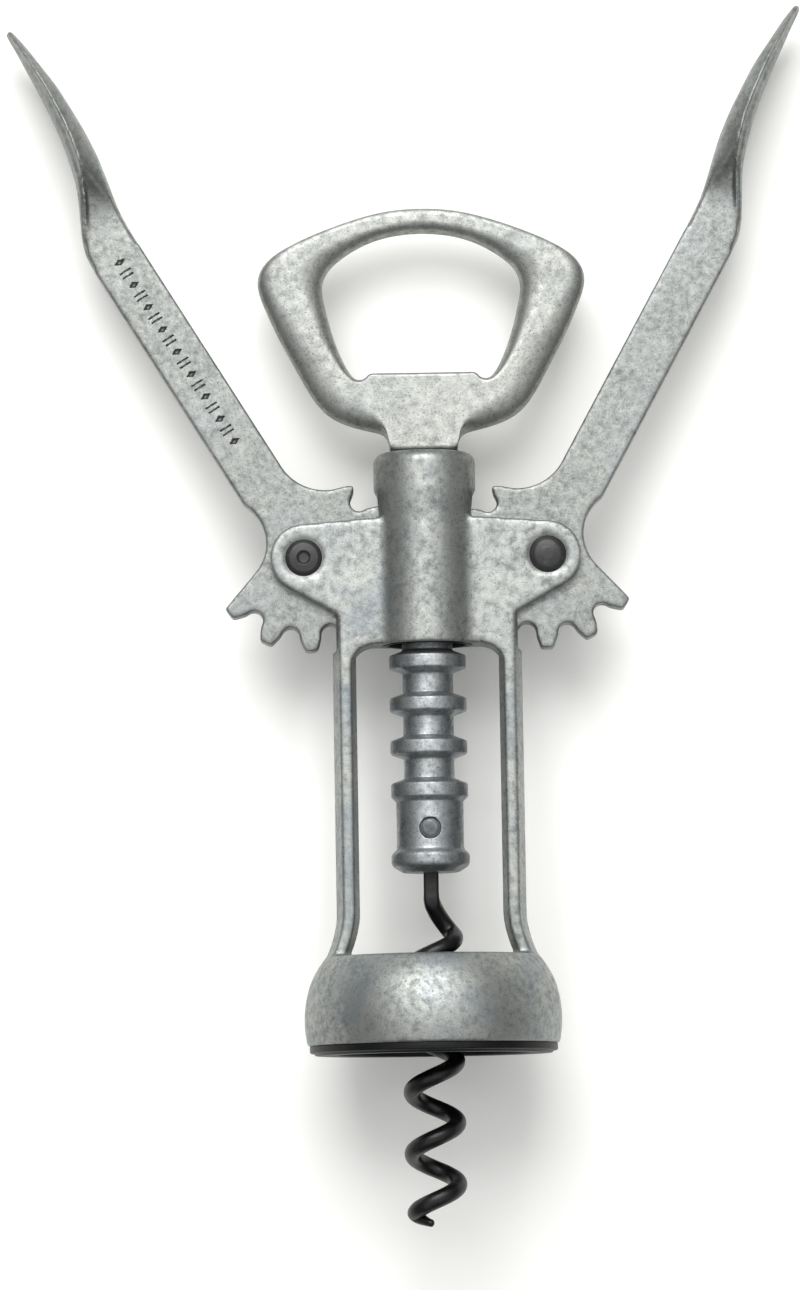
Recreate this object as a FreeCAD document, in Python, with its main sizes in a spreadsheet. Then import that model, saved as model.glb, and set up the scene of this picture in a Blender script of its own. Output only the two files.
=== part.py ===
"""Winged lever corkscrew, millimetres.

The screw axis is Z. The origin is the centre of the black ring's mouth, which rests on the bottle, and
the front of the corkscrew faces -Y. The screw group is drawn up and both levers are raised.
"""

import FreeCAD, Part
import math
import os
import re
import Sketcher

Vector = FreeCAD.Vector

SIZES = {
    "bell": {
        "rim_z": 1.5,
        "rim_rad": 20.1,
        "bell_belly_z": 11.3,
        "bell_belly_inset": 0.5,
        "bell_side_arc": 17.9,
        "bell_top_z": 15.7,
        "bell_top_inset": 3.0,
        "bell_shoulder_arc": 14.9,
        "bell_wall": 2.8,
        "bell_roof": 2.0,
        "bell_hole_rad": 10.9,
    },
    "insert": {
        "insert_gap": 0.05,
        "insert_flange_inset": 0.3,
        "insert_wall": 2.05,
        "bottle_stop_z": 10.8,
        "insert_web": 2.0,
        "guide_gap": 0.73,
    },
    "legs": {
        "leg_inner": 11.4,
        "leg_bulge": 0.8,
        "leg_face_width": 1.9,
        "leg_outer_bulge": 1.1,
        "casting_half_depth": 4.5,
        "leg_flare_z": 22.0,
        "leg_foot_shift": 1.9,
    },
    "yoke": {
        "pivot_reach": 13.36,
        "pivot_z": 79.5,
        "ear_rad": 5.4,
        "yoke_slope": 4.4,
        "knee_drop": 9.2,
        "knee_slope": 28.2,
        "window_drop": 14.1,
        "window_round": 3.6,
        "barrel_wall": 1.44,
        "barrel_top_wall": 1.74,
        "barrel_rise": 16.9,
        "barrel_swell_rise": 10.5,
        "barrel_edge_round": 1.7,
        "barrel_blend": 3.4,
        "slot_gap": 0.2,
        "slot_reach_gap": 0.7,
    },
    "levers": {
        "lever_half": 2.3,
        "lever_hub_gap": 0.05,
        "gap_count": 7,
        "tooth_step": 29.2,
        "tooth_tip_rad": 14.9,
        "tooth_gap_rad": 12.75,
        "tooth_gap_half": 1.5,
        "tooth_gap_mouth": 2.95,
        "first_gap_angle": 76.4,
        "bar_inner": 5.0,
        "bar_outer": 3.4,
        "bar_end": 58.0,
        "neck_start": 14.0,
        "neck_arc": 8.2,
        "waist_start": 12.6,
        "waist_arc": 7.3,
        "left_lever_angle": 31.65,
        "right_lever_angle": 28.8,
    },
    "rivets": {
        "rivet_rad": 2.2,
        "rivet_head_lip": 0.75,
        "rivet_head_rise": 0.9,
        "rivet_head_rim": 0.25,
        "rivet_recess_gap": 0.4,
        "rivet_recess": 0.4,
        "rivet_dimple_rad": 1.2,
        "rivet_dimple": 0.25,
    },
    "rack": {
        "rack_pitch": 6.85,
        "rack_count": 8,
        "rack_first_drop": 37.35,
        "ring_rad": 6.16,
        "ring_depth": 2.11,
        "ring_tip_width": 2.1,
        "ring_root_width": 3.7,
        "rack_body_rad": 5.37,
        "rack_body_inset": 0.7,
        "collar_drop": 50.5,
        "collar_height": 3.9,
        "collar_rad": 6.26,
        "collar_round": 1.66,
        "rack_top_rise": 12.5,
        "spigot_rad": 2.9,
        "spigot_depth": 12.0,
        "bore_gap": 0.3,
    },
    "worm": {
        "wire_rad": 1.375,
        "bend_rad": 1.39,
        "worm_rad": 4.97,
        "worm_pitch": 9.8,
        "worm_phase_drop": 30.1,
        "worm_top_drop": 8.9,
        "worm_end_drop": 54.2,
        "tip_x": -0.9,
        "tip_y": -2.4,
        "tip_drop": 55.8,
        "tip_rad": 0.6,
        "shank_half": 1.22,
        "shank_end_drop": 3.8,
        "shank_head_rad": 3.0,
        "shank_head_rise": 2.5,
        "shank_head_length": 8.1,
        "worm_pin_rise": 6.9,
        "worm_pin_rad": 1.7,
        "pin_recess": 0.25,
        "pin_gap": 0.02,
    },
    "bush": {
        "bush_wall": 0.78,
        "bush_running_gap": 0.06,
        "bush_length": 3.2,
        "bush_gap": 0.05,
    },
    "head": {
        "head_half": 3.0,
        "neck_extra": 0.04,
        "neck_edge_rise": 2.2,
        "neck_fillet": 1.8,
        "loop_floor_rise": 10.8,
        "head_pin_rad": 1.2,
        "head_pin_drop": 5.3,
    },
}

# Places worked out from the sizes. Heights above the bell hang from the lever pivots, so that the rack,
# the barrel and the handle move up and down with them.
BELL_BORE = "(rim_rad - bell_wall)"
BOTTLE_RAD = "(rim_rad - bell_wall - insert_gap - insert_wall)"
GUIDE_RAD = "(worm_rad + guide_gap)"
LEG_FACE_IN = "(leg_inner + leg_bulge)"
LEG_FACE_OUT = "(leg_inner + leg_bulge + leg_face_width)"
PIVOT_X = "(ring_rad + pivot_reach)"
WINDOW_TOP = "(pivot_z - window_drop)"
KNEE = "(pivot_z - knee_drop)"
BORE_RAD = "(ring_rad + bore_gap)"
BARREL_RAD = "(ring_rad + bore_gap + barrel_wall)"
BARREL_TOP_RAD = "(ring_rad + bore_gap + barrel_top_wall)"
BARREL_TOP = "(pivot_z + barrel_rise)"
BARREL_SWELL = "(pivot_z + barrel_swell_rise)"
YOKE_PEAK = "(pivot_z + ear_rad * cos(yoke_slope) + (ring_rad + pivot_reach) * tan(yoke_slope))"
RIVET_HEAD = "(rivet_rad + rivet_head_lip)"
RING_ROOT = "(ring_rad - ring_depth)"
COLLAR = "(pivot_z - collar_drop)"
RACK_TOP = "(pivot_z + rack_top_rise)"
BUSH_HOLE = "(ring_rad + bush_running_gap)"
BUSH_RAD = "(ring_rad + bush_running_gap + bush_wall)"
NECK_RAD = "(ring_rad + neck_extra)"
NECK_EDGE = "(pivot_z + barrel_rise + neck_edge_rise)"
WORM_PIN_Z = "(pivot_z - collar_drop + worm_pin_rise)"
HEAD_PIN_Z = "(pivot_z + rack_top_rise - head_pin_drop)"

# The opener head's outer edge, from one side of the neck over the crown to the other: each row is a
# corner across (X) and up from the neck's edge, and the radius of the arc that leads to the next corner.
HEAD_OUTSIDE = [
    (f"{NECK_RAD} - 0.3", "-0.3", 0),
    (f"{NECK_RAD} - 0.3", "0", "-neck_fillet"),
    ("8.0", "1.6", 0),
    ("14.8", "3.8", 12.0),
    ("20.0", "10.3", 0),
    ("25.0", "21.8", 14.0),
    ("25.9", "26.8", 3.2),
    ("24.2", "29.3", 90.0),
    ("13.5", "34.7", 42.0),
    ("-13.5", "34.7", 90.0),
    ("-24.2", "29.3", 3.2),
    ("-25.9", "26.8", 14.0),
    ("-25.0", "21.8", 0),
    ("-20.0", "10.3", 12.0),
    ("-14.8", "3.8", 0),
    ("-8.0", "1.6", "-neck_fillet"),
    (f"0.3 - {NECK_RAD}", "0", 0),
    (f"0.3 - {NECK_RAD}", "-0.3", 0),
]
HEAD_LOOP = [
    ("8.5", "loop_floor_rise", 0),
    ("9.4", "loop_floor_rise - 0.9", 1.1),
    ("11.4", "loop_floor_rise - 0.4", 0),
    ("15.0", "17.8", 12.0),
    ("14.9", "26.9", 11.0),
    ("8.5", "32.0", 26.0),
    ("-8.5", "32.0", 11.0),
    ("-14.9", "26.9", 12.0),
    ("-15.0", "17.8", 0),
    ("-11.4", "loop_floor_rise - 0.4", 1.1),
    ("-9.4", "loop_floor_rise - 0.9", 0),
    ("-8.5", "loop_floor_rise", 0),
]

document = FreeCAD.newDocument("lever_corkscrew")
sheet = document.addObject("Spreadsheet::Sheet", "Sizes")


def fill_sheet():
    """Writes every driving size into the sheet as a plain number with an alias."""
    row = 0
    for group, sizes in SIZES.items():
        row += 1
        sheet.set(f"A{row}", group)
        for alias, number in sizes.items():
            row += 1
            sheet.set(f"A{row}", alias)
            sheet.set(f"B{row}", str(number))
            sheet.setAlias(f"B{row}", alias)
    document.recompute()


def alias_names():
    """The names of all sizes."""
    return {alias for sizes in SIZES.values() for alias in sizes}


ALIASES = alias_names()


def cell_name(word):
    """A size's alias as the sheet's own cell; any other word, such as sin, as it is."""
    return "Sizes." + word[0] if word[0] in ALIASES else word[0]


def bound(expression):
    """The expression with each size's alias written as the sheet's own cell."""
    return re.sub(r"[a-z][a-z_0-9]*", cell_name, str(expression))


def value(expression):
    """The expression's present number."""
    return float(sheet.evalExpression(str(expression)))


def new_body(label):
    """An empty body that carries the name of a piece."""
    body = document.addObject("PartDesign::Body", label)
    body.Label = label
    return body


def new_sketch(body, name, plane, offset="0"):
    """A sketch on one of the body's origin planes, moved along the plane's normal by an offset."""
    sketch = body.newObject("Sketcher::SketchObject", name)
    support = [feature for feature in body.Origin.OriginFeatures if feature.Role == plane][0]
    sketch.AttachmentSupport = [(support, "")]
    sketch.MapMode = "FlatFace"
    sketch.setExpression("AttachmentOffset.Base.z", bound(offset))
    return sketch


def arc_centre(start, end, radius):
    """Centre of the arc from start to end; a positive radius turns left on the way, a negative one right."""
    half = (end - start) * 0.5
    reach = math.sqrt(max(radius * radius - half.Length ** 2, 0.0))
    side = Vector(-half.y, half.x, 0).normalize() * math.copysign(reach, radius)
    return start + half + side


def new_edge(start, end, radius):
    """A straight edge, or an arc when a radius is given."""
    if radius == 0:
        return Part.LineSegment(start, end)
    centre = arc_centre(start, end, radius)
    middle = ((start + end) * 0.5 - centre).normalize() * abs(radius) + centre
    return Part.Arc(start, middle, end)


def outline(body, name, plane, corners, offset="0"):
    """A closed outline. Each corner is (across, up) or (across, up, radius of the arc to the next one)."""
    sketch = new_sketch(body, name, plane, offset)
    points = [Vector(value(corner[0]), value(corner[1]), 0) for corner in corners]
    radii = [corner[2] if len(corner) > 2 else 0 for corner in corners]
    edges = []
    for index, start in enumerate(points):
        end = points[(index + 1) % len(points)]
        edges.append(sketch.addGeometry(new_edge(start, end, value(radii[index])), False))
    ends = [corner_ends(value(radius)) for radius in radii]
    for index, edge in enumerate(edges):
        after = (index + 1) % len(edges)
        joint = Sketcher.Constraint("Coincident", edge, ends[index][1], edges[after], ends[after][0])
        sketch.addConstraint(joint)
        pin_point(sketch, edge, ends[index][0], corners[index][0], corners[index][1])
        if value(radii[index]) != 0:
            size = sketch.addConstraint(Sketcher.Constraint("Radius", edge, abs(value(radii[index]))))
            sketch.setExpression(f"Constraints[{size}]", bound(f"abs({radii[index]})"))
    return sketch


def corner_ends(radius):
    """Which end of an edge is its start and which its end: an arc that turns right is stored reversed."""
    return (2, 1) if radius < 0 else (1, 2)


def pin_point(sketch, edge, end, across, up):
    """Ties one end of an edge to its two distances from the sketch's origin."""
    for kind, distance in (("DistanceX", across), ("DistanceY", up)):
        tie = sketch.addConstraint(Sketcher.Constraint(kind, -1, 1, edge, end, value(distance)))
        sketch.setExpression(f"Constraints[{tie}]", bound(distance))


def circle(body, name, plane, across, up, radius, offset="0"):
    """A circle with its centre and radius tied to sizes."""
    sketch = new_sketch(body, name, plane, offset)
    shape = Part.Circle(Vector(value(across), value(up), 0), Vector(0, 0, 1), value(radius))
    edge = sketch.addGeometry(shape, False)
    pin_point(sketch, edge, 3, across, up)
    size = sketch.addConstraint(Sketcher.Constraint("Radius", edge, value(radius)))
    sketch.setExpression(f"Constraints[{size}]", bound(radius))
    return sketch


def feature(body, kind, name, profile, **settings):
    """A PartDesign feature made from a sketch; a text setting is an expression."""
    made = body.newObject(f"PartDesign::{kind}", name)
    made.Profile = profile
    for key, setting in settings.items():
        if isinstance(setting, str) and key in ("Length", "Length2", "Angle", "TaperAngle"):
            made.setExpression(key, bound(setting))
        else:
            setattr(made, key, setting)
    document.recompute()
    return made


def pad_both(body, name, profile, length):
    """A pad of this whole length, half on each side of its sketch."""
    return feature(body, "Pad", name, profile, Midplane=True, Length=length)


def cut_both(body, name, profile, length):
    """A pocket of this whole length, half on each side of its sketch, which must remove something."""
    before = body.Shape.Volume
    made = feature(body, "Pocket", name, profile, Midplane=True, Length=length)
    assert body.Shape.Volume < before - 1e-3, f"{name} cuts nothing"
    return made


def turned(body, name, profile):
    """A solid turned about the sketch's upright axis."""
    return feature(body, "Revolution", name, profile, ReferenceAxis=(profile, ["V_Axis"]))


def turned_away(body, name, profile):
    """A groove turned about the sketch's upright axis, which must remove something."""
    before = body.Shape.Volume
    made = feature(body, "Groove", name, profile, ReferenceAxis=(profile, ["V_Axis"]))
    assert body.Shape.Volume < before - 1e-3, f"{name} cuts nothing"
    return made


def mirror_x(body, name, originals):
    """Repeats features on the other side of the body's YZ plane."""
    made = body.newObject("PartDesign::Mirrored", name)
    plane = [item for item in body.Origin.OriginFeatures if item.Role == "YZ_Plane"][0]
    made.Originals = originals
    made.MirrorPlane = (plane, [""])
    body.Tip = made
    document.recompute()
    return made


def build_frame():
    """The one-piece casting: bell, two legs, the yoke with its ears and the barrel."""
    body = new_body("frame")
    fill_bell(body)
    fill_legs(body)
    fill_yoke(body)
    cut_frame(body)
    return body


def fill_bell(body):
    """A thin bell with a round opening in its roof."""
    corners = [
        (BELL_BORE, "rim_z"),
        ("rim_rad", "rim_z", "bell_side_arc"),
        ("rim_rad - bell_belly_inset", "bell_belly_z", "bell_shoulder_arc"),
        ("rim_rad - bell_top_inset", "bell_top_z - 0.2"),
        ("rim_rad - bell_top_inset - 0.5", "bell_top_z"),
        ("bell_hole_rad", "bell_top_z"),
        ("bell_hole_rad", "bell_top_z - bell_roof"),
        (BELL_BORE, "bell_top_z - bell_roof"),
    ]
    turned(body, "bell", outline(body, "bell_outline", "XZ_Plane", corners))


def leg_corners(shift):
    """A leg's six-sided section, moved outward by a shift."""
    return [
        (f"leg_inner + {shift}", "0"),
        (f"{LEG_FACE_IN} + {shift}", "-casting_half_depth"),
        (f"{LEG_FACE_OUT} + {shift}", "-casting_half_depth"),
        (f"{LEG_FACE_OUT} + leg_outer_bulge + {shift}", "0"),
        (f"{LEG_FACE_OUT} + {shift}", "casting_half_depth"),
        (f"{LEG_FACE_IN} + {shift}", "casting_half_depth"),
    ]


def fill_legs(body):
    """Two straight legs whose feet turn outward into the bell."""
    section = outline(body, "leg_section", "XY_Plane", leg_corners("0"), "leg_flare_z")
    leg = feature(body, "Pad", "leg", section, Length=f"{KNEE} - leg_flare_z")
    top = outline(body, "foot_top", "XY_Plane", leg_corners("0"), "leg_flare_z")
    middle_z = "leg_flare_z * 0.45 + bell_top_z * 0.55"
    middle = outline(body, "foot_middle", "XY_Plane", leg_corners("leg_foot_shift * 0.36"), middle_z)
    low = outline(body, "foot_low", "XY_Plane", leg_corners("leg_foot_shift * 1.2"), "bell_top_z - bell_roof / 2")
    foot = body.newObject("PartDesign::AdditiveLoft", "foot")
    foot.Profile = top
    foot.Sections = [middle, low]
    document.recompute()
    mirror_x(body, "second_leg", [leg, foot])


def fill_yoke(body):
    """The plate that carries both levers between its ears, and the upright barrel blended into it."""
    window_low = f"{WINDOW_TOP} - window_round"
    side = [
        (LEG_FACE_OUT, window_low, 0),
        (LEG_FACE_OUT, KNEE, 0),
        (f"{PIVOT_X} + ear_rad * sin(knee_slope)", "pivot_z - ear_rad * cos(knee_slope)", "ear_rad"),
        (f"{PIVOT_X} + ear_rad * sin(yoke_slope)", "pivot_z + ear_rad * cos(yoke_slope)", 0),
    ]
    other = [(f"-({across})", up, 0) for across, up, _ in reversed(side)]
    other[0] = (other[0][0], other[0][1], "ear_rad")
    window = [
        (f"-{LEG_FACE_IN}", window_low, "-window_round"),
        (f"window_round - {LEG_FACE_IN}", WINDOW_TOP, 0),
        (f"{LEG_FACE_IN} - window_round", WINDOW_TOP, "-window_round"),
        (LEG_FACE_IN, window_low, 0),
    ]
    corners = side + [("0", YOKE_PEAK, 0)] + other + window
    pad_both(body, "yoke", outline(body, "yoke_outline", "XZ_Plane", corners), "2 * casting_half_depth")
    corners = [
        ("0", WINDOW_TOP),
        (BARREL_RAD, WINDOW_TOP),
        (BARREL_RAD, f"{BARREL_SWELL} - 4"),
        (BARREL_TOP_RAD, BARREL_SWELL),
        (BARREL_TOP_RAD, f"{BARREL_TOP} - barrel_edge_round", "barrel_edge_round"),
        (f"{BARREL_TOP_RAD} - barrel_edge_round", BARREL_TOP),
        ("0", BARREL_TOP),
    ]
    turned(body, "barrel", outline(body, "barrel_outline", "XZ_Plane", corners))
    blend_barrel(body)


def blend_barrel(body):
    """Fills the four corners between the barrel and the yoke's faces with arcs tangent to both."""
    reach = f"({BARREL_RAD} + barrel_blend)"
    rise = "(casting_half_depth + barrel_blend)"
    across = f"sqrt({reach} ^ 2 - {rise} ^ 2)"
    share = f"({BARREL_RAD} / {reach})"
    corners = []
    for sign_x, sign_y in ((1, -1), (1, 1), (-1, 1), (-1, -1)):
        foot = (f"{sign_x} * {across}", f"{sign_y} * (casting_half_depth - 0.5)")
        face = (f"{sign_x} * {across}", f"{sign_y} * casting_half_depth")
        side = (f"{sign_x} * {across} * {share}", f"{sign_y} * {rise} * {share}")
        if sign_x * sign_y < 0:
            corners += [side + ("-barrel_blend",), face, foot]
        else:
            corners += [foot, face + ("-barrel_blend",), side]
    outside = outline(body, "blend_outline", "XY_Plane", corners, WINDOW_TOP)
    feature(body, "Pad", "blend", outside, Length=f"pivot_z + ear_rad * cos(yoke_slope) - {WINDOW_TOP}")


def cut_frame(body):
    """The barrel's bore, the two lever slots and the rivets' holes and recesses."""
    bore = [
        ("0", f"{WINDOW_TOP} - 1"),
        (f"{BUSH_RAD} + bush_gap", f"{WINDOW_TOP} - 1"),
        (f"{BUSH_RAD} + bush_gap", f"{WINDOW_TOP} + bush_length + bush_gap"),
        (BORE_RAD, f"{WINDOW_TOP} + bush_length + bush_gap"),
        (BORE_RAD, f"{BARREL_TOP} + 1"),
        ("0", f"{BARREL_TOP} + 1"),
    ]
    turned_away(body, "bore", outline(body, "bore_outline", "XZ_Plane", bore))
    for side, sign in (("left", "-"), ("right", "")):
        pivot = sign + PIVOT_X
        reach = circle(body, side + "_slot_outline", "XZ_Plane", pivot, "pivot_z", "tooth_tip_rad + slot_reach_gap")
        cut_both(body, side + "_slot", reach, "2 * (lever_half + slot_gap)")
        hole = circle(body, side + "_rivet_outline", "XZ_Plane", pivot, "pivot_z", "rivet_rad + pin_gap")
        cut_both(body, side + "_rivet_hole", hole, "2 * casting_half_depth + 2")
        for face, reversed_cut in (("front", False), ("back", True)):
            offset = "casting_half_depth - rivet_recess" if face == "front" else "rivet_recess - casting_half_depth"
            name = f"{side}_{face}_recess"
            seat_rad = f"{RIVET_HEAD} + rivet_recess_gap"
            seat = circle(body, name + "_outline", "XZ_Plane", pivot, "pivot_z", seat_rad, offset)
            cut_outward(body, name, seat, not reversed_cut)


def cut_outward(body, name, profile, towards_front):
    """A shallow recess cut from its sketch out through the face."""
    before = body.Shape.Volume
    feature(body, "Pocket", name, profile, Length="rivet_recess + 1", Reversed=towards_front)
    assert body.Shape.Volume < before - 1e-3, f"{name} cuts nothing"


# Sections of a lever's blade, along the lever from its pivot: distance along, outer side, inner side,
# half breadth, and the share of the breadth that is flat.
BLADE_SECTIONS = [
    ("bar_end", "-bar_outer", "bar_inner", "lever_half", 0.97),
    ("bar_end + 5.5", -1.8, 5.3, 4.6, 0.75),
    ("bar_end + 11.5", 1.1, 6.4, 6.7, 0.5),
    ("bar_end + 19", 3.3, 7.4, 8.0, 0.4),
    ("bar_end + 26", 4.3, 7.65, 7.7, 0.4),
    ("bar_end + 33", 4.75, 7.2, 6.0, 0.4),
    ("bar_end + 39.3", 5.2, 6.3, 2.6, 0.4),
]


def build_lever(label):
    """A lever drawn upright with its pivot at the origin and its teeth towards -X."""
    body = new_body(label)
    last = "(first_gap_angle + (gap_count - 1) * tooth_step + tooth_step * 0.5 + 4)"
    start = "(first_gap_angle - tooth_step * 0.5 - 1)"
    middle = f"(({start} + {last}) * 0.5)"
    corners = [
        ("bar_outer", "bar_end"),
        ("-bar_inner", "bar_end"),
        ("-bar_inner", "neck_start", "-neck_arc"),
        (f"-(tooth_tip_rad - 1.6) * sin{start}", f"(tooth_tip_rad - 1.6) * cos{start}"),
        (f"-tooth_tip_rad * sin({start} + 8)", f"tooth_tip_rad * cos({start} + 8)", "tooth_tip_rad"),
        (f"-tooth_tip_rad * sin{middle}", f"tooth_tip_rad * cos{middle}", "tooth_tip_rad"),
        (f"-tooth_tip_rad * sin{last}", f"tooth_tip_rad * cos{last}"),
        ("7.6", "2.4", "-waist_arc"),
        ("bar_outer", "waist_start"),
    ]
    pad_both(body, label + "_blank", outline(body, label + "_outline", "XZ_Plane", corners), "2 * lever_half")
    cut_teeth(body, label)
    hole = circle(body, label + "_hole_outline", "XZ_Plane", "0", "0", "rivet_rad + lever_hub_gap")
    cut_both(body, label + "_hole", hole, "4 * lever_half")
    sections = []
    for index, (along, outer, inner, half, flat) in enumerate(BLADE_SECTIONS):
        name = f"{label}_blade_{index}"
        sections.append(outline(body, name, "XY_Plane", blade_corners(outer, inner, half, flat), along))
    blade = body.newObject("PartDesign::AdditiveLoft", label + "_blade")
    blade.Profile = sections[0]
    blade.Sections = sections[1:]
    document.recompute()
    return body


def blade_corners(outer, inner, half, flat):
    """A lens-like section with six corners."""
    middle = f"-(({outer}) + ({inner})) * 0.5"
    return [
        (f"-({outer})", f"-{flat} * {half}"),
        (f"-({outer})", f"{flat} * {half}"),
        (middle, f"{half}"),
        (f"-({inner})", f"{flat} * {half}"),
        (f"-({inner})", f"-{flat} * {half}"),
        (middle, f"-{half}"),
    ]


def cut_teeth(body, label):
    """The round-bottomed gaps between the teeth, equally spaced about the pivot."""
    before = body.Shape.Volume
    deep = "(tooth_gap_rad)"
    wide = "(tooth_tip_rad + 0.5)"
    mouth = "(tooth_gap_half + (tooth_gap_mouth - tooth_gap_half) * (tooth_tip_rad + 0.5 - tooth_gap_rad)"
    mouth += " / (tooth_tip_rad - tooth_gap_rad))"
    corners = [
        gap_corner(wide, f"-{mouth}"),
        gap_corner(deep, "-tooth_gap_half") + ("-tooth_gap_half",),
        gap_corner("(tooth_gap_rad - tooth_gap_half)", "0") + ("-tooth_gap_half",),
        gap_corner(deep, "tooth_gap_half"),
        gap_corner(wide, mouth),
    ]
    sketch = outline(body, label + "_gap_outline", "XZ_Plane", corners)
    gap = cut_both(body, label + "_gap", sketch, "4 * lever_half")
    pattern = body.newObject("PartDesign::PolarPattern", label + "_gaps")
    pattern.Originals = [gap]
    pattern.Axis = (sketch, ["N_Axis"])
    pattern.setExpression("Angle", bound("tooth_step * (gap_count - 1)"))
    pattern.setExpression("Occurrences", bound("gap_count"))
    body.Tip = pattern
    document.recompute()
    assert body.Shape.Volume < before - 1e-3, f"{label} has no teeth"


def gap_corner(out, aside):
    """A point of the first tooth gap: so far out from the pivot and so far aside of the gap's middle."""
    across = f"-({out}) * sin(first_gap_angle) - ({aside}) * cos(first_gap_angle)"
    up = f"({out}) * cos(first_gap_angle) - ({aside}) * sin(first_gap_angle)"
    return (across, up)


def place_levers(left, right):
    """Turns both levers outward about their pivots; the left one is the right one turned half round."""
    for body, sign in ((left, "-"), (right, "")):
        body.setExpression("Placement.Base.x", bound(sign + PIVOT_X))
        body.setExpression("Placement.Base.z", bound("pivot_z"))
    right.Placement.Rotation = FreeCAD.Rotation(Vector(0, 1, 0), value("right_lever_angle"))
    right.setExpression("Placement.Rotation.Angle", bound("right_lever_angle"))
    half = value("left_lever_angle") / 2
    axis = Vector(-math.sin(math.radians(half)), 0, math.cos(math.radians(half)))
    left.Placement.Rotation = FreeCAD.Rotation(axis, 180)
    document.recompute()


def build_rivet(label, sign, front_turn):
    """A rivet with a domed head, and a peened tail with a dimple; some rivets go in from the back."""
    body = new_body(label)
    seat = "(casting_half_depth - rivet_recess)"
    rim = f"({seat} + rivet_head_rim)"
    top = f"({seat} + rivet_head_rise)"
    bulge = "(rivet_head_rise - rivet_head_rim)"
    dome = f"(({RIVET_HEAD} ^ 2 + {bulge} ^ 2) / (2 * {bulge}))"
    corners = [
        (f"-{top}", "0"),
        (f"{top} - rivet_dimple * 2", "0"),
        (f"{top} - rivet_dimple", "rivet_dimple_rad"),
        (rim, RIVET_HEAD),
        (seat, RIVET_HEAD),
        (seat, "rivet_rad"),
        (f"-{seat}", "rivet_rad"),
        (f"-{seat}", RIVET_HEAD),
        (f"-{rim}", RIVET_HEAD, dome),
    ]
    profile = outline(body, label + "_outline", "YZ_Plane", corners)
    feature(body, "Revolution", label + "_turned", profile, ReferenceAxis=(profile, ["H_Axis"]))
    body.setExpression("Placement.Base.x", bound(sign + PIVOT_X))
    body.setExpression("Placement.Base.z", bound("pivot_z"))
    body.Placement.Rotation = FreeCAD.Rotation(Vector(0, 0, 1), front_turn)
    document.recompute()
    return body


def build_rack():
    """The round rack: rings about a shaft, a plain body for the worm's pin and a rounded collar."""
    body = new_body("rack_shaft")
    corners = [
        ("0", COLLAR),
        ("collar_rad - collar_round", COLLAR, "collar_round"),
        ("collar_rad", f"{COLLAR} + collar_round"),
        ("collar_rad", f"{COLLAR} + collar_height - 0.9"),
        ("rack_body_rad", f"{COLLAR} + collar_height"),
        ("rack_body_rad", "pivot_z - rack_first_drop - ring_tip_width / 2 - rack_body_inset"),
    ]
    for number in range(int(value("rack_count"))):
        middle = f"pivot_z - rack_first_drop + {number} * rack_pitch"
        if number > 0:
            corners.append((RING_ROOT, f"{middle} - ring_root_width / 2"))
        corners.append(("ring_rad", f"{middle} - ring_tip_width / 2"))
        corners.append(("ring_rad", f"{middle} + ring_tip_width / 2"))
        if number < value("rack_count") - 1:
            corners.append((RING_ROOT, f"{middle} + ring_root_width / 2"))
    corners += [("ring_rad", RACK_TOP), ("0", RACK_TOP)]
    turned(body, "rack", outline(body, "rack_outline", "XZ_Plane", corners))
    spigot = [
        ("0", f"{RACK_TOP} - spigot_depth - pin_gap"),
        ("spigot_rad + pin_gap", f"{RACK_TOP} - spigot_depth - pin_gap"),
        ("spigot_rad + pin_gap", f"{RACK_TOP} + 1"),
        ("0", f"{RACK_TOP} + 1"),
    ]
    turned_away(body, "spigot_hole", outline(body, "spigot_hole_outline", "XZ_Plane", spigot))
    socket_top = f"{COLLAR} + shank_head_rise + shank_head_length + pin_gap"
    socket = [
        ("0", f"{COLLAR} - 1"),
        ("shank_head_rad + pin_gap", f"{COLLAR} - 1"),
        ("shank_head_rad + pin_gap", socket_top),
        ("0", socket_top),
    ]
    turned_away(body, "worm_socket", outline(body, "worm_socket_outline", "XZ_Plane", socket))
    hole = circle(body, "worm_pin_hole_outline", "XZ_Plane", "0", WORM_PIN_Z, "worm_pin_rad + pin_gap")
    cut_both(body, "worm_pin_hole", hole, "4 * ring_rad")
    hole = circle(body, "head_pin_hole_outline", "XZ_Plane", "0", HEAD_PIN_Z, "head_pin_rad + pin_gap")
    cut_both(body, "head_pin_hole", hole, "4 * ring_rad")
    return body


def build_pin(label, height, radius, half_length):
    """A plain cross pin along Y."""
    body = new_body(label)
    pad_both(body, label + "_pad", circle(body, label + "_outline", "XZ_Plane", "0", height, radius), half_length)
    return body


def build_insert():
    """The black ring in the bell: a flange under the rim, a sleeve for the bottle and a web that guides the worm."""
    body = new_body("bell_insert")
    flange = "(rim_rad - insert_flange_inset)"
    corners = [
        (BOTTLE_RAD, "0"),
        (f"{flange} - 0.3", "0"),
        (flange, "0.3"),
        (flange, "rim_z"),
        (f"{BELL_BORE} - insert_gap", "rim_z"),
        (f"{BELL_BORE} - insert_gap", "bottle_stop_z + insert_web"),
        (GUIDE_RAD, "bottle_stop_z + insert_web"),
        (GUIDE_RAD, "bottle_stop_z"),
        (BOTTLE_RAD, "bottle_stop_z"),
    ]
    turned(body, "ring", outline(body, "ring_outline", "XZ_Plane", corners))
    return body


def build_bush():
    """The sleeve in the barrel's lower mouth, in which the rack turns and slides."""
    body = new_body("guide_bush")
    corners = [
        (BUSH_HOLE, WINDOW_TOP),
        (BUSH_RAD, WINDOW_TOP),
        (BUSH_RAD, f"{WINDOW_TOP} + bush_length"),
        (BUSH_HOLE, f"{WINDOW_TOP} + bush_length"),
    ]
    turned(body, "bush", outline(body, "bush_outline", "XZ_Plane", corners))
    return body


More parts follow.
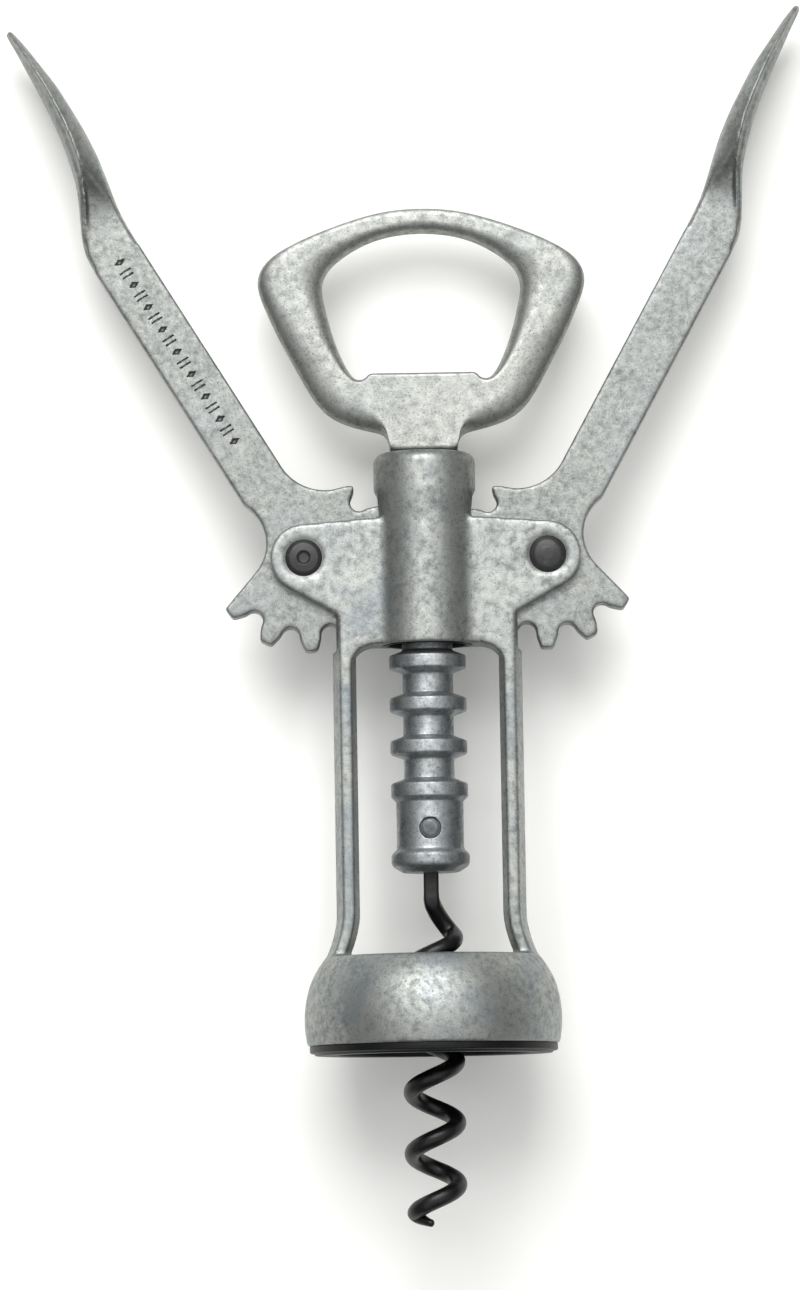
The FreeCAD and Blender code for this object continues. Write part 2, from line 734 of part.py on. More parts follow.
def raised(rows):
    """Head outline rows with their heights counted from the neck's edge."""
    return [(across, f"{NECK_EDGE} + {up}", radius) for across, up, radius in rows]


def build_head():
    """The turning handle with its bottle-opener loop, and the neck and spigot that enter the rack."""
    body = new_body("opener_head")
    pad_both(body, "plate", outline(body, "head_outline", "XZ_Plane", raised(HEAD_OUTSIDE)), "2 * head_half")
    cut_both(body, "loop", outline(body, "loop_outline", "XZ_Plane", raised(HEAD_LOOP)), "4 * head_half")
    corners = [
        ("0", f"{RACK_TOP} - spigot_depth"),
        ("spigot_rad", f"{RACK_TOP} - spigot_depth"),
        ("spigot_rad", RACK_TOP),
        (NECK_RAD, RACK_TOP),
        (NECK_RAD, NECK_EDGE),
        ("0", NECK_EDGE),
    ]
    turned(body, "neck", outline(body, "neck_outline", "XZ_Plane", corners))
    hole = circle(body, "head_hole_outline", "XZ_Plane", "0", HEAD_PIN_Z, "head_pin_rad + pin_gap")
    cut_both(body, "head_pin_hole_in_spigot", hole, "4 * spigot_rad")
    return body


def worm_point(height):
    """A point of the helix's centre line at this height; the screw is right-handed."""
    turn = 2 * math.pi * (height - value(f"{COLLAR} - worm_phase_drop")) / value("worm_pitch")
    radius = value("worm_rad - wire_rad")
    return Vector(radius * math.cos(turn), radius * math.sin(turn), height)


def rod(start, end, radius, end_radius=None):
    """A round bar or cone from start to end with a ball on its far end."""
    end_radius = radius if end_radius is None else end_radius
    direction = end - start
    if abs(radius - end_radius) < 1e-9:
        bar = Part.makeCylinder(radius, direction.Length, start, direction)
    else:
        bar = Part.makeCone(radius, end_radius, direction.Length, start, direction)
    return bar.fuse(Part.makeSphere(end_radius, end))


def build_worm():
    """The wire worm: a drilled head in the rack, a square shank, a bend and an open helix with a blunt tip."""
    wire = value("wire_rad")
    bend = value("bend_rad")
    top = value(f"{COLLAR} - worm_top_drop")
    low = value(f"{COLLAR} - worm_end_drop")
    pitch = value("worm_pitch")
    spine = Part.makeHelix(pitch, top - low, value("worm_rad - wire_rad"))
    start = worm_point(low)
    spine.rotate(Vector(0, 0, 0), Vector(0, 0, 1), math.degrees(math.atan2(start.y, start.x)))
    spine.translate(Vector(0, 0, low))
    ahead = worm_point(low + 0.001) - start
    section = Part.Wire([Part.makeCircle(wire, start, ahead)])
    coil = Part.Wire(spine).makePipeShell([section], True, True)
    shank_z = value(f"{COLLAR} - shank_end_drop")
    head_z = value(f"{COLLAR} + shank_head_rise")
    joint = Vector(0, 0, shank_z)
    half = value("shank_half")
    shank = Part.makeBox(2 * half, 2 * half, head_z - shank_z + 0.5, Vector(-half, -half, shank_z))
    head = Part.makeCylinder(
        value("shank_head_rad"),
        value("shank_head_length"),
        Vector(0, 0, head_z),
    )
    hole = Part.makeCylinder(
        value("worm_pin_rad + pin_gap"),
        4 * value("shank_head_rad"),
        Vector(0, -2 * value("shank_head_rad"), value(WORM_PIN_Z)),
        Vector(0, 1, 0),
    )
    tip = Vector(value("tip_x"), value("tip_y"), value(f"{COLLAR} - tip_drop"))
    solid = coil.fuse([
        Part.makeSphere(bend, worm_point(low)),
        rod(worm_point(low), tip, wire, value("tip_rad")),
        rod(joint, worm_point(top), bend),
        Part.makeSphere(bend, joint),
        shank,
        head,
    ]).cut(hole).removeSplitter()
    worm = document.addObject("Part::Feature", "worm")
    worm.Label = "worm"
    worm.Shape = solid.Solids[0] if len(solid.Solids) == 1 else solid
    return worm


def check_and_write(pieces):
    """Stops on any failed object or shape, then writes one STEP file for each piece."""
    document.recompute()
    for item in document.Objects:
        assert not {"Invalid", "Error"} & set(item.State), f"{item.Label} failed: {item.State}"
    for piece in pieces:
        shape = piece.Shape
        assert not shape.isNull() and shape.isValid(), f"{piece.Label} has no valid shape"
        assert len(shape.Solids) == 1, f"{piece.Label} is {len(shape.Solids)} solids"
    os.makedirs("parts", exist_ok=True)
    for piece in pieces:
        piece.Shape.exportStep(f"parts/{piece.Label}.step")
        print(piece.Label, "volume", round(piece.Shape.Volume, 1), "box", piece.Shape.BoundBox)


fill_sheet()
frame = build_frame()
left_lever = build_lever("lever_left")
right_lever = build_lever("lever_right")
place_levers(left_lever, right_lever)
check_and_write([
    frame,
    left_lever,
    right_lever,
    build_rivet("rivet_left", "-", 180),
    build_rivet("rivet_right", "", 0),
    build_rack(),
    build_worm(),
    build_pin("worm_pin", WORM_PIN_Z, "worm_pin_rad", "2 * (rack_body_rad - pin_recess)"),
    build_head(),
    build_pin("head_pin", HEAD_PIN_Z, "head_pin_rad", f"2 * {RING_ROOT} - 0.2"),
    build_insert(),
    build_bush(),
])
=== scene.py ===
"""Looks of a winged lever corkscrew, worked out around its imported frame.

Everything is in metres in the frame's own axes: Z runs up the screw's axis from the mouth of the black ring,
the flat front faces -Y, and the levers swing in the XZ plane.
"""

import logging
import math
from dataclasses import dataclass
from enum import Enum

import bmesh
import bpy
import numpy as np
from mathutils import Matrix, Vector


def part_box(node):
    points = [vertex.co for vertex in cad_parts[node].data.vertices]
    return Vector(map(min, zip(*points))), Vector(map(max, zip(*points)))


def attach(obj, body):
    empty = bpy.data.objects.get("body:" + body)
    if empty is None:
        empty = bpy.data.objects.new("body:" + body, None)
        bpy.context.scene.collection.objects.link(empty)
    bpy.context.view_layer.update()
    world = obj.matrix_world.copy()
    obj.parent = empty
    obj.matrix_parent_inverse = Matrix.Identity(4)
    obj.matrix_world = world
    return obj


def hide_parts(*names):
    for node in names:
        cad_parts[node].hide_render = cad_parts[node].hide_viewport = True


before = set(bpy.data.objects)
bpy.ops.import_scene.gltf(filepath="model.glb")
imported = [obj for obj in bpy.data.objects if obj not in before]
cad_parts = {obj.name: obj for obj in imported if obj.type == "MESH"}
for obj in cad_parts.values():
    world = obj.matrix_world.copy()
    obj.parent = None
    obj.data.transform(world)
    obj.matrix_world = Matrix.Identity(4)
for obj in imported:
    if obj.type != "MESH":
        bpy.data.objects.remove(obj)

LOG = logging.getLogger("corkscrew")
MM = 0.001
Array = np.ndarray
Source = bpy.types.NodeSocket | float | tuple[float, float, float, float]


class Body(Enum):
    """The rigid bodies that pieces ride on."""

    FRAME = "frame"
    BUSH = "bush"
    SCREW = "screw"
    LEFT = "lever_left"
    RIGHT = "lever_right"


def linear_colour(code: str) -> tuple[float, float, float, float]:
    """Turns an sRGB hex code into linear RGBA.

    Args:
        code: six hex digits.

    Returns:
        The colour as linear red, green, blue and alpha.
    """
    srgb = np.array([int(code[i : i + 2], 16) for i in (0, 2, 4)]) / 255
    low, high = srgb / 12.92, ((srgb + 0.055) / 1.055) ** 2.4
    return (*np.where(srgb <= 0.04045, low, high).tolist(), 1.0)


# ---------------------------------------------------------------- surfaces


def grid_faces(rows: int, columns: int, wrap_rows: bool, wrap_columns: bool) -> Array:
    """Quads that join a grid of points, each point to the next row and the next column.

    Args:
        rows: number of rows of points.
        columns: number of points in a row.
        wrap_rows: whether the last row joins the first.
        wrap_columns: whether a row's last point joins its first.

    Returns:
        An array of quads, four point numbers each.
    """
    row = np.arange(rows if wrap_rows else rows - 1)[:, None]
    column = np.arange(columns if wrap_columns else columns - 1)[None, :]
    after_row, after_column = (row + 1) % rows, (column + 1) % columns
    corners = (
        row * columns + column,
        row * columns + after_column,
        after_row * columns + after_column,
        after_row * columns + column,
    )
    return np.stack([np.broadcast_to(corner, corners[0].shape) for corner in corners], -1).reshape(-1, 4)


def new_piece(name: str, points: Array, faces: list[Array]) -> bpy.types.Object:
    """Puts points and faces into a new smooth mesh whose faces point outwards.

    Args:
        name: the object's name.
        points: an array of points, three numbers each.
        faces: arrays of faces, each array with one number of corners.

    Returns:
        The new object, at the origin.
    """
    mesh = bpy.data.meshes.new(name)
    mesh.from_pydata(points.reshape(-1, 3).tolist(), [], [face for group in faces for face in group.tolist()])
    piece = bpy.data.objects.new(name, mesh)
    bpy.context.scene.collection.objects.link(piece)
    turn_outward(piece)
    return piece


def turn_outward(piece: bpy.types.Object) -> None:
    """Merges doubled points and turns every face of a closed mesh outwards.

    Args:
        piece: the object to mend.
    """
    mesh = piece.data
    work = bmesh_of(mesh)
    bmesh.ops.remove_doubles(work, verts=work.verts, dist=1e-7)
    bmesh.ops.recalc_face_normals(work, faces=work.faces)
    work.to_mesh(mesh)
    work.free()
    mesh.shade_smooth()


def bmesh_of(mesh: bpy.types.Mesh) -> bmesh.types.BMesh:
    """A working copy of a mesh."""
    work = bmesh.new()
    work.from_mesh(mesh)
    return work


def finished(piece: bpy.types.Object) -> bpy.types.Object:
    """Turns a piece's modifiers into plain mesh."""
    graph = bpy.context.evaluated_depsgraph_get()
    mesh = bpy.data.meshes.new_from_object(piece.evaluated_get(graph))
    piece.modifiers.clear()
    piece.data = mesh
    mesh.shade_smooth()
    return piece


def rounded_profile(corners: list[tuple[float, float, float]], steps: int = 7) -> Array:
    """A closed outline whose corners are rounded by arcs tangent to both sides.

    Each arc starts and ends at radius / tan(half the corner's angle) from the corner.

    Args:
        corners: (across, up, rounding radius) of each corner, in order.
        steps: points on each arc.

    Returns:
        The outline's points, two numbers each.
    """
    spots = np.array([corner[:2] for corner in corners])
    outline = []
    for index, spot in enumerate(spots):
        radius = corners[index][2]
        back = spots[index - 1] - spot
        ahead = spots[(index + 1) % len(spots)] - spot
        back, ahead = back / np.linalg.norm(back), ahead / np.linalg.norm(ahead)
        half = math.acos(float(np.clip(back @ ahead, -1, 1))) / 2
        if radius <= 0 or half > math.pi / 2 - 1e-3:
            outline.append(spot[None])
            continue
        middle = (back + ahead) / np.linalg.norm(back + ahead)
        centre = spot + middle * radius / math.sin(half)
        reach = radius / math.tan(half)
        first, last = spot + back * reach - centre, spot + ahead * reach - centre
        share = np.linspace(0, 1, steps)[:, None]
        turn = math.pi - 2 * half
        arc = (np.sin((1 - share) * turn) * first + np.sin(share * turn) * last) / math.sin(turn)
        outline.append(centre + arc)
    return np.concatenate(outline)


def turned_piece(name: str, outline: Array, turns: int = 128) -> bpy.types.Object:
    """A closed outline of (radius, height) carried round the Z axis.

    Args:
        name: the object's name.
        outline: the closed outline's points; points on the axis close the shape there.
        turns: columns round the axis.

    Returns:
        The new object.
    """
    angle = np.linspace(0, 2 * np.pi, turns, endpoint=False)[None, :]
    radius, height = outline[:, :1], outline[:, 1:]
    points = np.stack(
        [radius * np.cos(angle), radius * np.sin(angle), np.broadcast_to(height, (len(outline), turns))], -1
    )
    return new_piece(name, points, [grid_faces(len(outline), turns, True, True)])


def carried_frames(path: Array) -> tuple[Array, Array]:
    """Two directions across a path that turn with it as little as they can.

    Each step reflects the last directions in the plane between two points, then in the plane that
    brings the reflected tangent onto the new one.

    Args:
        path: the path's points.

    Returns:
        The first and second cross direction at each point.
    """
    tangent = np.gradient(path, axis=0)
    tangent /= np.linalg.norm(tangent, axis=1, keepdims=True)
    side = np.zeros_like(path)
    side[0] = (1, 0, 0)
    for index in range(len(path) - 1):
        step = path[index + 1] - path[index]
        mirrored = side[index] - 2 * (step @ side[index]) / (step @ step) * step
        turned = tangent[index] - 2 * (step @ tangent[index]) / (step @ step) * step
        mend = tangent[index + 1] - turned
        size = mend @ mend
        side[index + 1] = mirrored - (2 * (mend @ mirrored) / size * mend if size > 1e-18 else 0)
    return side, np.cross(tangent, side)


def smooth_step(number: Array) -> Array:
    """Rises smoothly from 0 to 1 as the number does."""
    number = np.clip(number, 0, 1)
    return number * number * (3 - 2 * number)


def smooth_curve(stations: Array, heights: Array, places: Array) -> Array:
    """A curve through stations that never swings past them.

    Between two stations it is a cubic whose slope at each is the mean of the slopes beside it, or level where
    those slopes have opposite signs.

    Args:
        stations: rising places.
        heights: the value at each.
        places: where the curve is wanted.

    Returns:
        The curve's values.
    """
    gap = np.diff(stations)
    slope = np.diff(heights) / gap
    before, after = slope[:-1], slope[1:]
    inside = np.where(before * after > 0, 2 * before * after / (before + after + 1e-12), 0)
    lean = np.concatenate([slope[:1], inside, slope[-1:]])
    start = np.clip(np.searchsorted(stations, places, side="right") - 1, 0, len(gap) - 1)
    s = (places - stations[start]) / gap[start]
    rest = 1 - s
    ends = (1 + 2 * s) * rest**2 * heights[start] + s**2 * (3 - 2 * s) * heights[start + 1]
    return ends + gap[start] * (s * rest**2 * lean[start] - s**2 * rest * lean[start + 1])


def node_copy(node: str, name: str) -> bpy.types.Object:
    """A new object with a copy of a CAD node's mesh."""
    piece = bpy.data.objects.new(name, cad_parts[node].data.copy())
    bpy.context.scene.collection.objects.link(piece)
    turn_outward(piece)
    return piece


def tumbled(piece: bpy.types.Object, voxel: float, rounds: int) -> bpy.types.Object:
    """Gives a piece the single skin and the softened corners of a tumbled casting.

    The piece is rebuilt from cubes of one size, and each point is then drawn towards its neighbours' middle,
    which rounds an edge by about one and a half cubes.

    Args:
        piece: closed shapes that may run into each other.
        voxel: the cubes' size in metres.
        rounds: how often the points are drawn together.

    Returns:
        The same object.
    """
    remesh = piece.modifiers.new("rebuild", "REMESH")
    remesh.mode = "VOXEL"
    remesh.voxel_size = voxel
    smooth = piece.modifiers.new("tumble", "SMOOTH")
    smooth.factor = 0.5
    smooth.iterations = rounds
    return finished(piece)


def cut_by(piece: bpy.types.Object, tool: bpy.types.Object, operation: str) -> bpy.types.Object:
    """Joins a piece with a tool, or cuts the tool from it, and removes the tool.

    Args:
        piece: the piece to change.
        tool: a closed object.
        operation: UNION or DIFFERENCE.

    Returns:
        The piece.
    """
    change = piece.modifiers.new("tool", "BOOLEAN")
    change.operation = operation
    change.object = tool
    finished(piece)
    bpy.data.objects.remove(tool)
    return piece


# ---------------------------------------------------------------- finishes


class Shader:
    """A material's node tree, and one way to add to it."""

    def __init__(self, name: str) -> None:
        """Makes the material with its surface shader and Object coordinates."""
        self.material = bpy.data.materials.new(name)
        self.material.use_nodes = True
        self.tree = self.material.node_tree
        self.surface = self.tree.nodes["Principled BSDF"]
        self.place = self.node("ShaderNodeTexCoord").outputs["Object"]

    def node(self, kind: str, settings: dict | None = None, links: dict | None = None) -> bpy.types.Node:
        """Adds a node.

        Args:
            kind: the node's type.
            settings: values by property or input name.
            links: output sockets by input name or number.

        Returns:
            The new node.
        """
        made = self.tree.nodes.new(kind)
        for key, setting in (settings or {}).items():
            if isinstance(key, str) and hasattr(made, key):
                setattr(made, key, setting)
            else:
                made.inputs[key].default_value = setting
        for key, output in (links or {}).items():
            self.tree.links.new(output, made.inputs[key])
        return made

    def noise(self, size_mm: float, detail: float, roughness: float = 0.55) -> bpy.types.NodeSocket:
        """Cloudy noise whose largest lumps are this many millimetres across."""
        settings = {"Scale": 1 / (size_mm * MM), "Detail": detail, "Roughness": roughness}
        return self.node("ShaderNodeTexNoise", settings, {"Vector": self.place}).outputs["Fac"]

    def ramp(self, source: bpy.types.NodeSocket, stops: list[tuple[float, str]]) -> bpy.types.NodeSocket:
        """Turns a number into a colour by stops of (position, hex code)."""
        made = self.node("ShaderNodeValToRGB", {}, {"Fac": source})
        elements = made.color_ramp.elements
        while len(elements) < len(stops):
            elements.new(0.5)
        for element, (position, code) in zip(elements, stops):
            element.position = position
            element.color = linear_colour(code)
        return made.outputs["Color"]

    def span(
        self, source: bpy.types.NodeSocket, low: float, high: float, to_low: float, to_high: float
    ) -> bpy.types.NodeSocket:
        """Maps a number from one span to another, held at the ends."""
        settings = {"From Min": low, "From Max": high, "To Min": to_low, "To Max": to_high}
        return self.node("ShaderNodeMapRange", settings, {"Value": source}).outputs["Result"]

    def mix(self, amount: Source, first: Source, second: Source) -> bpy.types.NodeSocket:
        """Mixes two colours; each argument is a socket or a fixed value."""
        made = self.node("ShaderNodeMix", {"data_type": "RGBA"})
        for number, source in ((0, amount), (6, first), (7, second)):
            if isinstance(source, bpy.types.NodeSocket):
                self.tree.links.new(source, made.inputs[number])
            else:
                made.inputs[number].default_value = source
        return made.outputs[2]

    def bump(self, heights: list[tuple[bpy.types.NodeSocket, float]]) -> None:
        """Adds bumps, each a height socket and its depth in millimetres, to the surface's normal."""
        normal = None
        for height, depth_mm in heights:
            links = {"Height": height} | ({"Normal": normal} if normal else {})
            settings = {"Distance": depth_mm * MM, "Strength": 1.0}
            normal = self.node("ShaderNodeBump", settings, links).outputs["Normal"]
        self.tree.links.new(normal, self.surface.inputs["Normal"])


@dataclass(frozen=True)
class TumbledZinc:
    """Zinc alloy, die-cast and tumbled with stones, left bare: dull mottled grey, brighter where rubbed."""

    name: str = "tumbled_zinc_alloy"
    dark: str = "777a79"
    middle: str = "969996"
    light: str = "a5a6a2"
    cool: str = "8f9496"
    worn: str = "cfcfca"
    pit: str = "50524f"
    # Colour of the painted shade that is laid into concave creases.
    hollow: str = "3f4243"
    roughness: float = 0.5
    blotch_mm: float = 5.0
    mottle_mm: float = 1.2
    grit_mm: float = 0.28
    tint_share: float = 0.3

    def material(self) -> bpy.types.Material:
        """Builds the material.

        Faint clouds of darker oxide, a finer mottle, small pits and pale grit, and edges rubbed bright;
        concave creases are darkened with painted shade in the hollow colour.

        Returns:
            The new material.
        """
        shader = Shader(self.name)
        blotch = shader.noise(self.blotch_mm, 4.0, 0.65)
        mottle = shader.noise(self.mottle_mm, 5.0, 0.7)
        grit = shader.noise(self.grit_mm, 2.0, 0.6)
        cloud = shader.mix(0.68, blotch, mottle)
        colour = shader.ramp(cloud, [(0.37, self.dark), (0.5, self.middle), (0.64, self.light)])
        tint = shader.span(shader.noise(self.blotch_mm * 1.4, 2.0), 0.5, 0.66, 0.0, self.tint_share)
        colour = shader.mix(tint, colour, linear_colour(self.cool))
        pits = shader.span(grit, 0.3, 0.42, 0.65, 0.0)
        colour = shader.mix(pits, colour, linear_colour(self.pit))
        specks = shader.span(grit, 0.64, 0.74, 0.0, 0.3)
        colour = shader.mix(specks, colour, linear_colour(self.worn))
        edge = shader.node("ShaderNodeNewGeometry").outputs["Pointiness"]
        rubbed = shader.span(edge, 0.54, 0.62, 0.0, 0.15)
        colour = shader.mix(rubbed, colour, linear_colour(self.worn))
        # Painted shade: where the surface is concave (low pointiness), the colour darkens towards the hollow
        # colour in place of the shade that falls in creases.
        hollow = shader.span(edge, 0.4, 0.49, 0.7, 0.0)
        colour = shader.mix(hollow, colour, linear_colour(self.hollow))
        shader.tree.links.new(colour, shader.surface.inputs["Base Color"])
        shader.surface.inputs["Metallic"].default_value = 1.0
        rough = shader.span(mottle, 0.35, 0.65, self.roughness + 0.08, self.roughness - 0.06)
        shader.tree.links.new(rough, shader.surface.inputs["Roughness"])
        shader.bump([(mottle, 0.035), (grit, 0.02)])
        return shader.material


@dataclass(frozen=True)
class CoatedSteel:
    """Steel wire under a baked black coating: satin, with a fine orange peel and a few rubbed grey spots."""

    name: str = "black_coated_steel"
    coat: str = "0d0d0f"
    rubbed: str = "4a4a4a"
    roughness: float = 0.33
    rub_share: float = 0.25

    def material(self) -> bpy.types.Material:
        """Builds the material: a dark coat with a fine peel and odd spots rubbed grey."""
        shader = Shader(self.name)
        patch = shader.noise(2.2, 5.0, 0.65)
        peel = shader.noise(0.4, 3.0)
        rub = shader.span(patch, 0.56, 0.72, 0.0, self.rub_share)
        colour = shader.mix(rub, linear_colour(self.coat), linear_colour(self.rubbed))
        shader.tree.links.new(colour, shader.surface.inputs["Base Color"])
        shader.surface.inputs["Metallic"].default_value = 0.35
        rough = shader.span(patch, 0.3, 0.7, self.roughness - 0.06, self.roughness + 0.14)
        shader.tree.links.new(rough, shader.surface.inputs["Roughness"])
        shader.bump([(peel, 0.02)])
        return shader.material


@dataclass(frozen=True)
class MouldedPlastic:
    """Black moulded polyamide: dull, with a fine spark-eroded grain."""

    name: str = "black_moulded_polyamide"
    base: str = "08090a"
    scuff: str = "1c1d1e"

    def material(self) -> bpy.types.Material:
        """Builds the material: near black with faint scuffs and a fine grain."""
        shader = Shader(self.name)
        scuffs = shader.span(shader.noise(1.5, 6.0, 0.7), 0.5, 0.75, 0.0, 0.6)
        colour = shader.mix(scuffs, linear_colour(self.base), linear_colour(self.scuff))
        shader.tree.links.new(colour, shader.surface.inputs["Base Color"])
        shader.surface.inputs["Roughness"].default_value = 0.42
        shader.surface.inputs["Specular IOR Level"].default_value = 0.2
        shader.bump([(shader.noise(0.3, 2.0), 0.015)])
        return shader.material


@dataclass(frozen=True)
class StudioSheet:
    """The pale card that the corkscrew lies on, faintly lit from below and seen from its front only."""

    name: str = "pale_studio_card"
    base: str = "f4f4f1"
    glow: float = 0.08

    def material(self) -> bpy.types.Material:
        """Builds the material: matt card in front, clear from behind."""
        shader = Shader(self.name)
        shader.surface.inputs["Base Color"].default_value = linear_colour(self.base)
        shader.surface.inputs["Roughness"].default_value = 0.9
        shader.surface.inputs["Specular IOR Level"].default_value = 0.1
        shader.surface.inputs["Emission Color"].default_value = linear_colour(self.base)
        shader.surface.inputs["Emission Strength"].default_value = self.glow
        clear = shader.node("ShaderNodeBsdfTransparent").outputs["BSDF"]
        side = shader.node("ShaderNodeNewGeometry").outputs["Backfacing"]
        links = {0: side, 1: shader.surface.outputs["BSDF"], 2: clear}
        both = shader.node("ShaderNodeMixShader", {}, links).outputs["Shader"]
        shader.tree.links.new(both, shader.tree.nodes["Material Output"].inputs["Surface"])
        return shader.material


def dress(piece: bpy.types.Object, material: bpy.types.Material) -> None:
    """Gives a piece one material."""
    piece.data.materials.clear()
    piece.data.materials.append(material)


def settle(piece: bpy.types.Object, body: Body, node: str, material: bpy.types.Material) -> None:
    """Joins a finished piece to its body in place of a CAD node.

    Args:
        piece: the new piece.
        body: the body that it moves with.
        node: the CAD node that it stands for.
        material: its finish.
    """
    dress(piece, material)
    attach(piece, body.value)
    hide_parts(node)
    LOG.info("%s rides on %s for %s, %d faces", piece.name, body.value, node, len(piece.data.polygons))


# ---------------------------------------------------------------- sub-assemblies


@dataclass
class Frame:
    """The bell, legs, yoke and barrel, cast in one."""

    zinc: bpy.types.Material
    voxel_mm: float = 0.33
    rounds: int = 6

    def build(self) -> None:
        """Softens the CAD frame's corners."""
        piece = tumbled(node_copy("frame", "frame_casting"), self.voxel_mm * MM, self.rounds)
        settle(piece, Body.FRAME, "frame", self.zinc)


@dataclass
class Lever:
    """A lever: the toothed hub and bar, a thumb blade turned across it, and a stamped border on one bar."""

    node: str
    body: Body
    side: int
    lean_deg: float
    stamped: bool
    zinc: bpy.types.Material
    pivot: tuple[float, float] = (19.52, 79.5)
    bar_half: float = 2.3
    blade_start: float = 57.0
    stamp_depth: float = 0.09
    stamp_shift: float = -0.8
    voxel_mm: float = 0.28
    rounds: int = 12

    def rows(self) -> Array:
        """The blade's stations.

        Returns:
            Rows of distance from the pivot, outer edge, inner edge, ridge height, edge height and place of
            the ridge across the blade (0 at the outer edge).
        """
        return np.array(
            [
                (57.0, 3.4, -5.0, 2.3, 2.3, 0.04),
                (60.0, 3.2, -5.03, 2.35, 2.3, 0.07),
                (62.5, 2.5, -5.15, 2.7, 2.25, 0.13),
                (65.0, 1.3, -5.5, 3.6, 2.2, 0.19),
                (67.5, 0.0, -6.0, 4.9, 2.2, 0.25),
                (70.5, -1.4, -6.6, 6.4, 2.2, 0.3),
                (74.0, -2.5, -7.2, 7.6, 2.3, 0.33),
                (79.0, -3.6, -7.6, 8.0, 2.3, 0.36),
                (85.0, -4.4, -7.7, 7.6, 2.2, 0.38),
                (91.0, -4.85, -7.25, 6.0, 1.8, 0.4),
                (95.0, -5.1, -6.85, 4.0, 1.3, 0.4),
                (97.9, -5.15, -6.35, 1.7, 0.8, 0.45),
            ]
        )

    def blade(self) -> tuple[Array, Array]:
        """The blade's skin in the upright lever's own axes, with the pivot at the origin.

        From the outer edge the face climbs steeply to the ridge, with a fine groove beside it; from there a
        full curve falls to the inner edge. Between the bar's flat face and that curve lies a hollow, whose
        head climbs from the inner edge up to the ridge. Both edges are rounded off.

        Returns:
            The points and the faces.
        """
        rows = self.rows()
        along = np.linspace(rows[0, 0], rows[-1, 0], 170)
        outer, inner, ridge, edge, place = (
            smooth_curve(rows[:, 0], rows[:, column], along)[:, None] for column in range(1, 6)
        )
        share = (1 - np.cos(np.linspace(0, np.pi, 60)))[None, :] / 2
        climb = np.clip(share / place, 0, 1)
        fall = np.clip((1 - share) / (1 - place), 0, 1)
        low_outer = np.minimum(ridge, edge + 0.3 * (ridge - edge))
        full = edge + (ridge - edge) * fall**0.38
        head = 64.5 + 8.8 * fall
        raised = np.clip((along[:, None] - 60.5) / (head - 60.5), 0, 1) ** 2.2
        hollow = self.bar_half + (full - self.bar_half) * raised
        width = outer - inner
        groove = np.exp(-(((share - place) * width + 0.4) ** 2) / 0.08)
        groove = groove * smooth_step((along[:, None] - 59) / 4)
        outside = low_outer + (ridge - low_outer) * climb
        height = np.where(share < place, outside, hollow) - groove
        from_edge = np.minimum(share, 1 - share) * width
        soft = np.minimum(0.5, width / 3)
        height = height * np.sqrt(1 - (1 - np.clip(from_edge / soft, 0, 1)) ** 2)
        across = outer + (inner - outer) * share
        up = np.broadcast_to(along[:, None], across.shape)
        front = np.stack([across, -height, up], -1)
        back = (front * (1, -1, 1))[:, -2:0:-1]
        skin = np.concatenate([front, back], 1)
        middle = skin.mean(axis=1, keepdims=True).repeat(skin.shape[1], 1)
        skin = np.concatenate([middle[:1], skin, middle[-1:] + (0, 0, 0.5)])
        return skin.reshape(-1, 3), grid_faces(*skin.shape[:2], False, True)

    def stamps(self) -> tuple[Array, Array]:
        """Shallow prisms for a plain stamped border: lozenges with a pair of short strokes between them.

        Returns:
            The points and the faces.
        """
        shapes = []
        for number in range(17):
            place = 22.0 + 2.15 * number
            if number % 2:
                for shift in (-0.42, 0.42):
                    shapes.append((place + shift, 0.11, 1.0, False))
            else:
                shapes.append((place, 0.5, 0.9, True))
        points, faces = [], []
        for place, half_up, half_across, lozenge in shapes:
            corners = [(0, half_up), (half_across, 0), (0, -half_up), (-half_across, 0)]
            if not lozenge:
                corners = [(half_across, half_up), (half_across, -half_up), (-half_across, -half_up)]
                corners.append((-half_across, half_up))
            depths = (-3.0, self.stamp_depth - self.bar_half)
            ends = [[(x + self.stamp_shift, depth, place + z) for x, z in corners] for depth in depths]
            first = sum(len(block) for block in points)
            points.append(np.array(ends[0] + ends[1]))
            walls = [(k, (k + 1) % 4, 4 + (k + 1) % 4, 4 + k) for k in range(4)]
            faces.append(np.array([(0, 1, 2, 3), (7, 6, 5, 4), *walls]) + first)
        return np.concatenate(points), np.concatenate(faces)

    def placed(self, points: Array) -> Array:
        """Leans points of the upright lever over and moves them to its pivot, in metres."""
        lean = math.radians(self.lean_deg)
        across = self.pivot[0] + points[:, 0] * math.cos(lean) + points[:, 2] * math.sin(lean)
        up = self.pivot[1] - points[:, 0] * math.sin(lean) + points[:, 2] * math.cos(lean)
        return np.stack([self.side * across, points[:, 1], up], -1) * MM

    def build(self) -> None:
        """Cuts the CAD lever off above its bar, adds the blade, softens the corners and stamps the border."""
        piece = node_copy(self.node, self.node + "_casting")
        lean = math.radians(self.lean_deg)
        work = bmesh_of(piece.data)
        normal = (self.side * math.sin(lean), 0, math.cos(lean))
        spot = self.placed(np.array([(0.0, 0.0, self.blade_start + 0.5)]))[0]
        everything = [*work.verts, *work.edges, *work.faces]
        cut = bmesh.ops.bisect_plane(work, geom=everything, plane_co=spot, plane_no=normal, clear_outer=True)
        rim = [item for item in cut["geom_cut"] if isinstance(item, bmesh.types.BMEdge)]
        bmesh.ops.contextual_create(work, geom=rim)
        points, faces = self.blade()
        blade = new_piece("blade", self.placed(points), [faces])
        work.from_mesh(blade.data)
        bpy.data.objects.remove(blade)
        work.to_mesh(piece.data)
        work.free()
        tumbled(piece, self.voxel_mm * MM, self.rounds)
        if self.stamped:
            points, faces = self.stamps()
            cut_by(piece, new_piece("stamps", self.placed(points), [faces]), "DIFFERENCE")
        settle(piece, self.body, self.node, self.zinc)


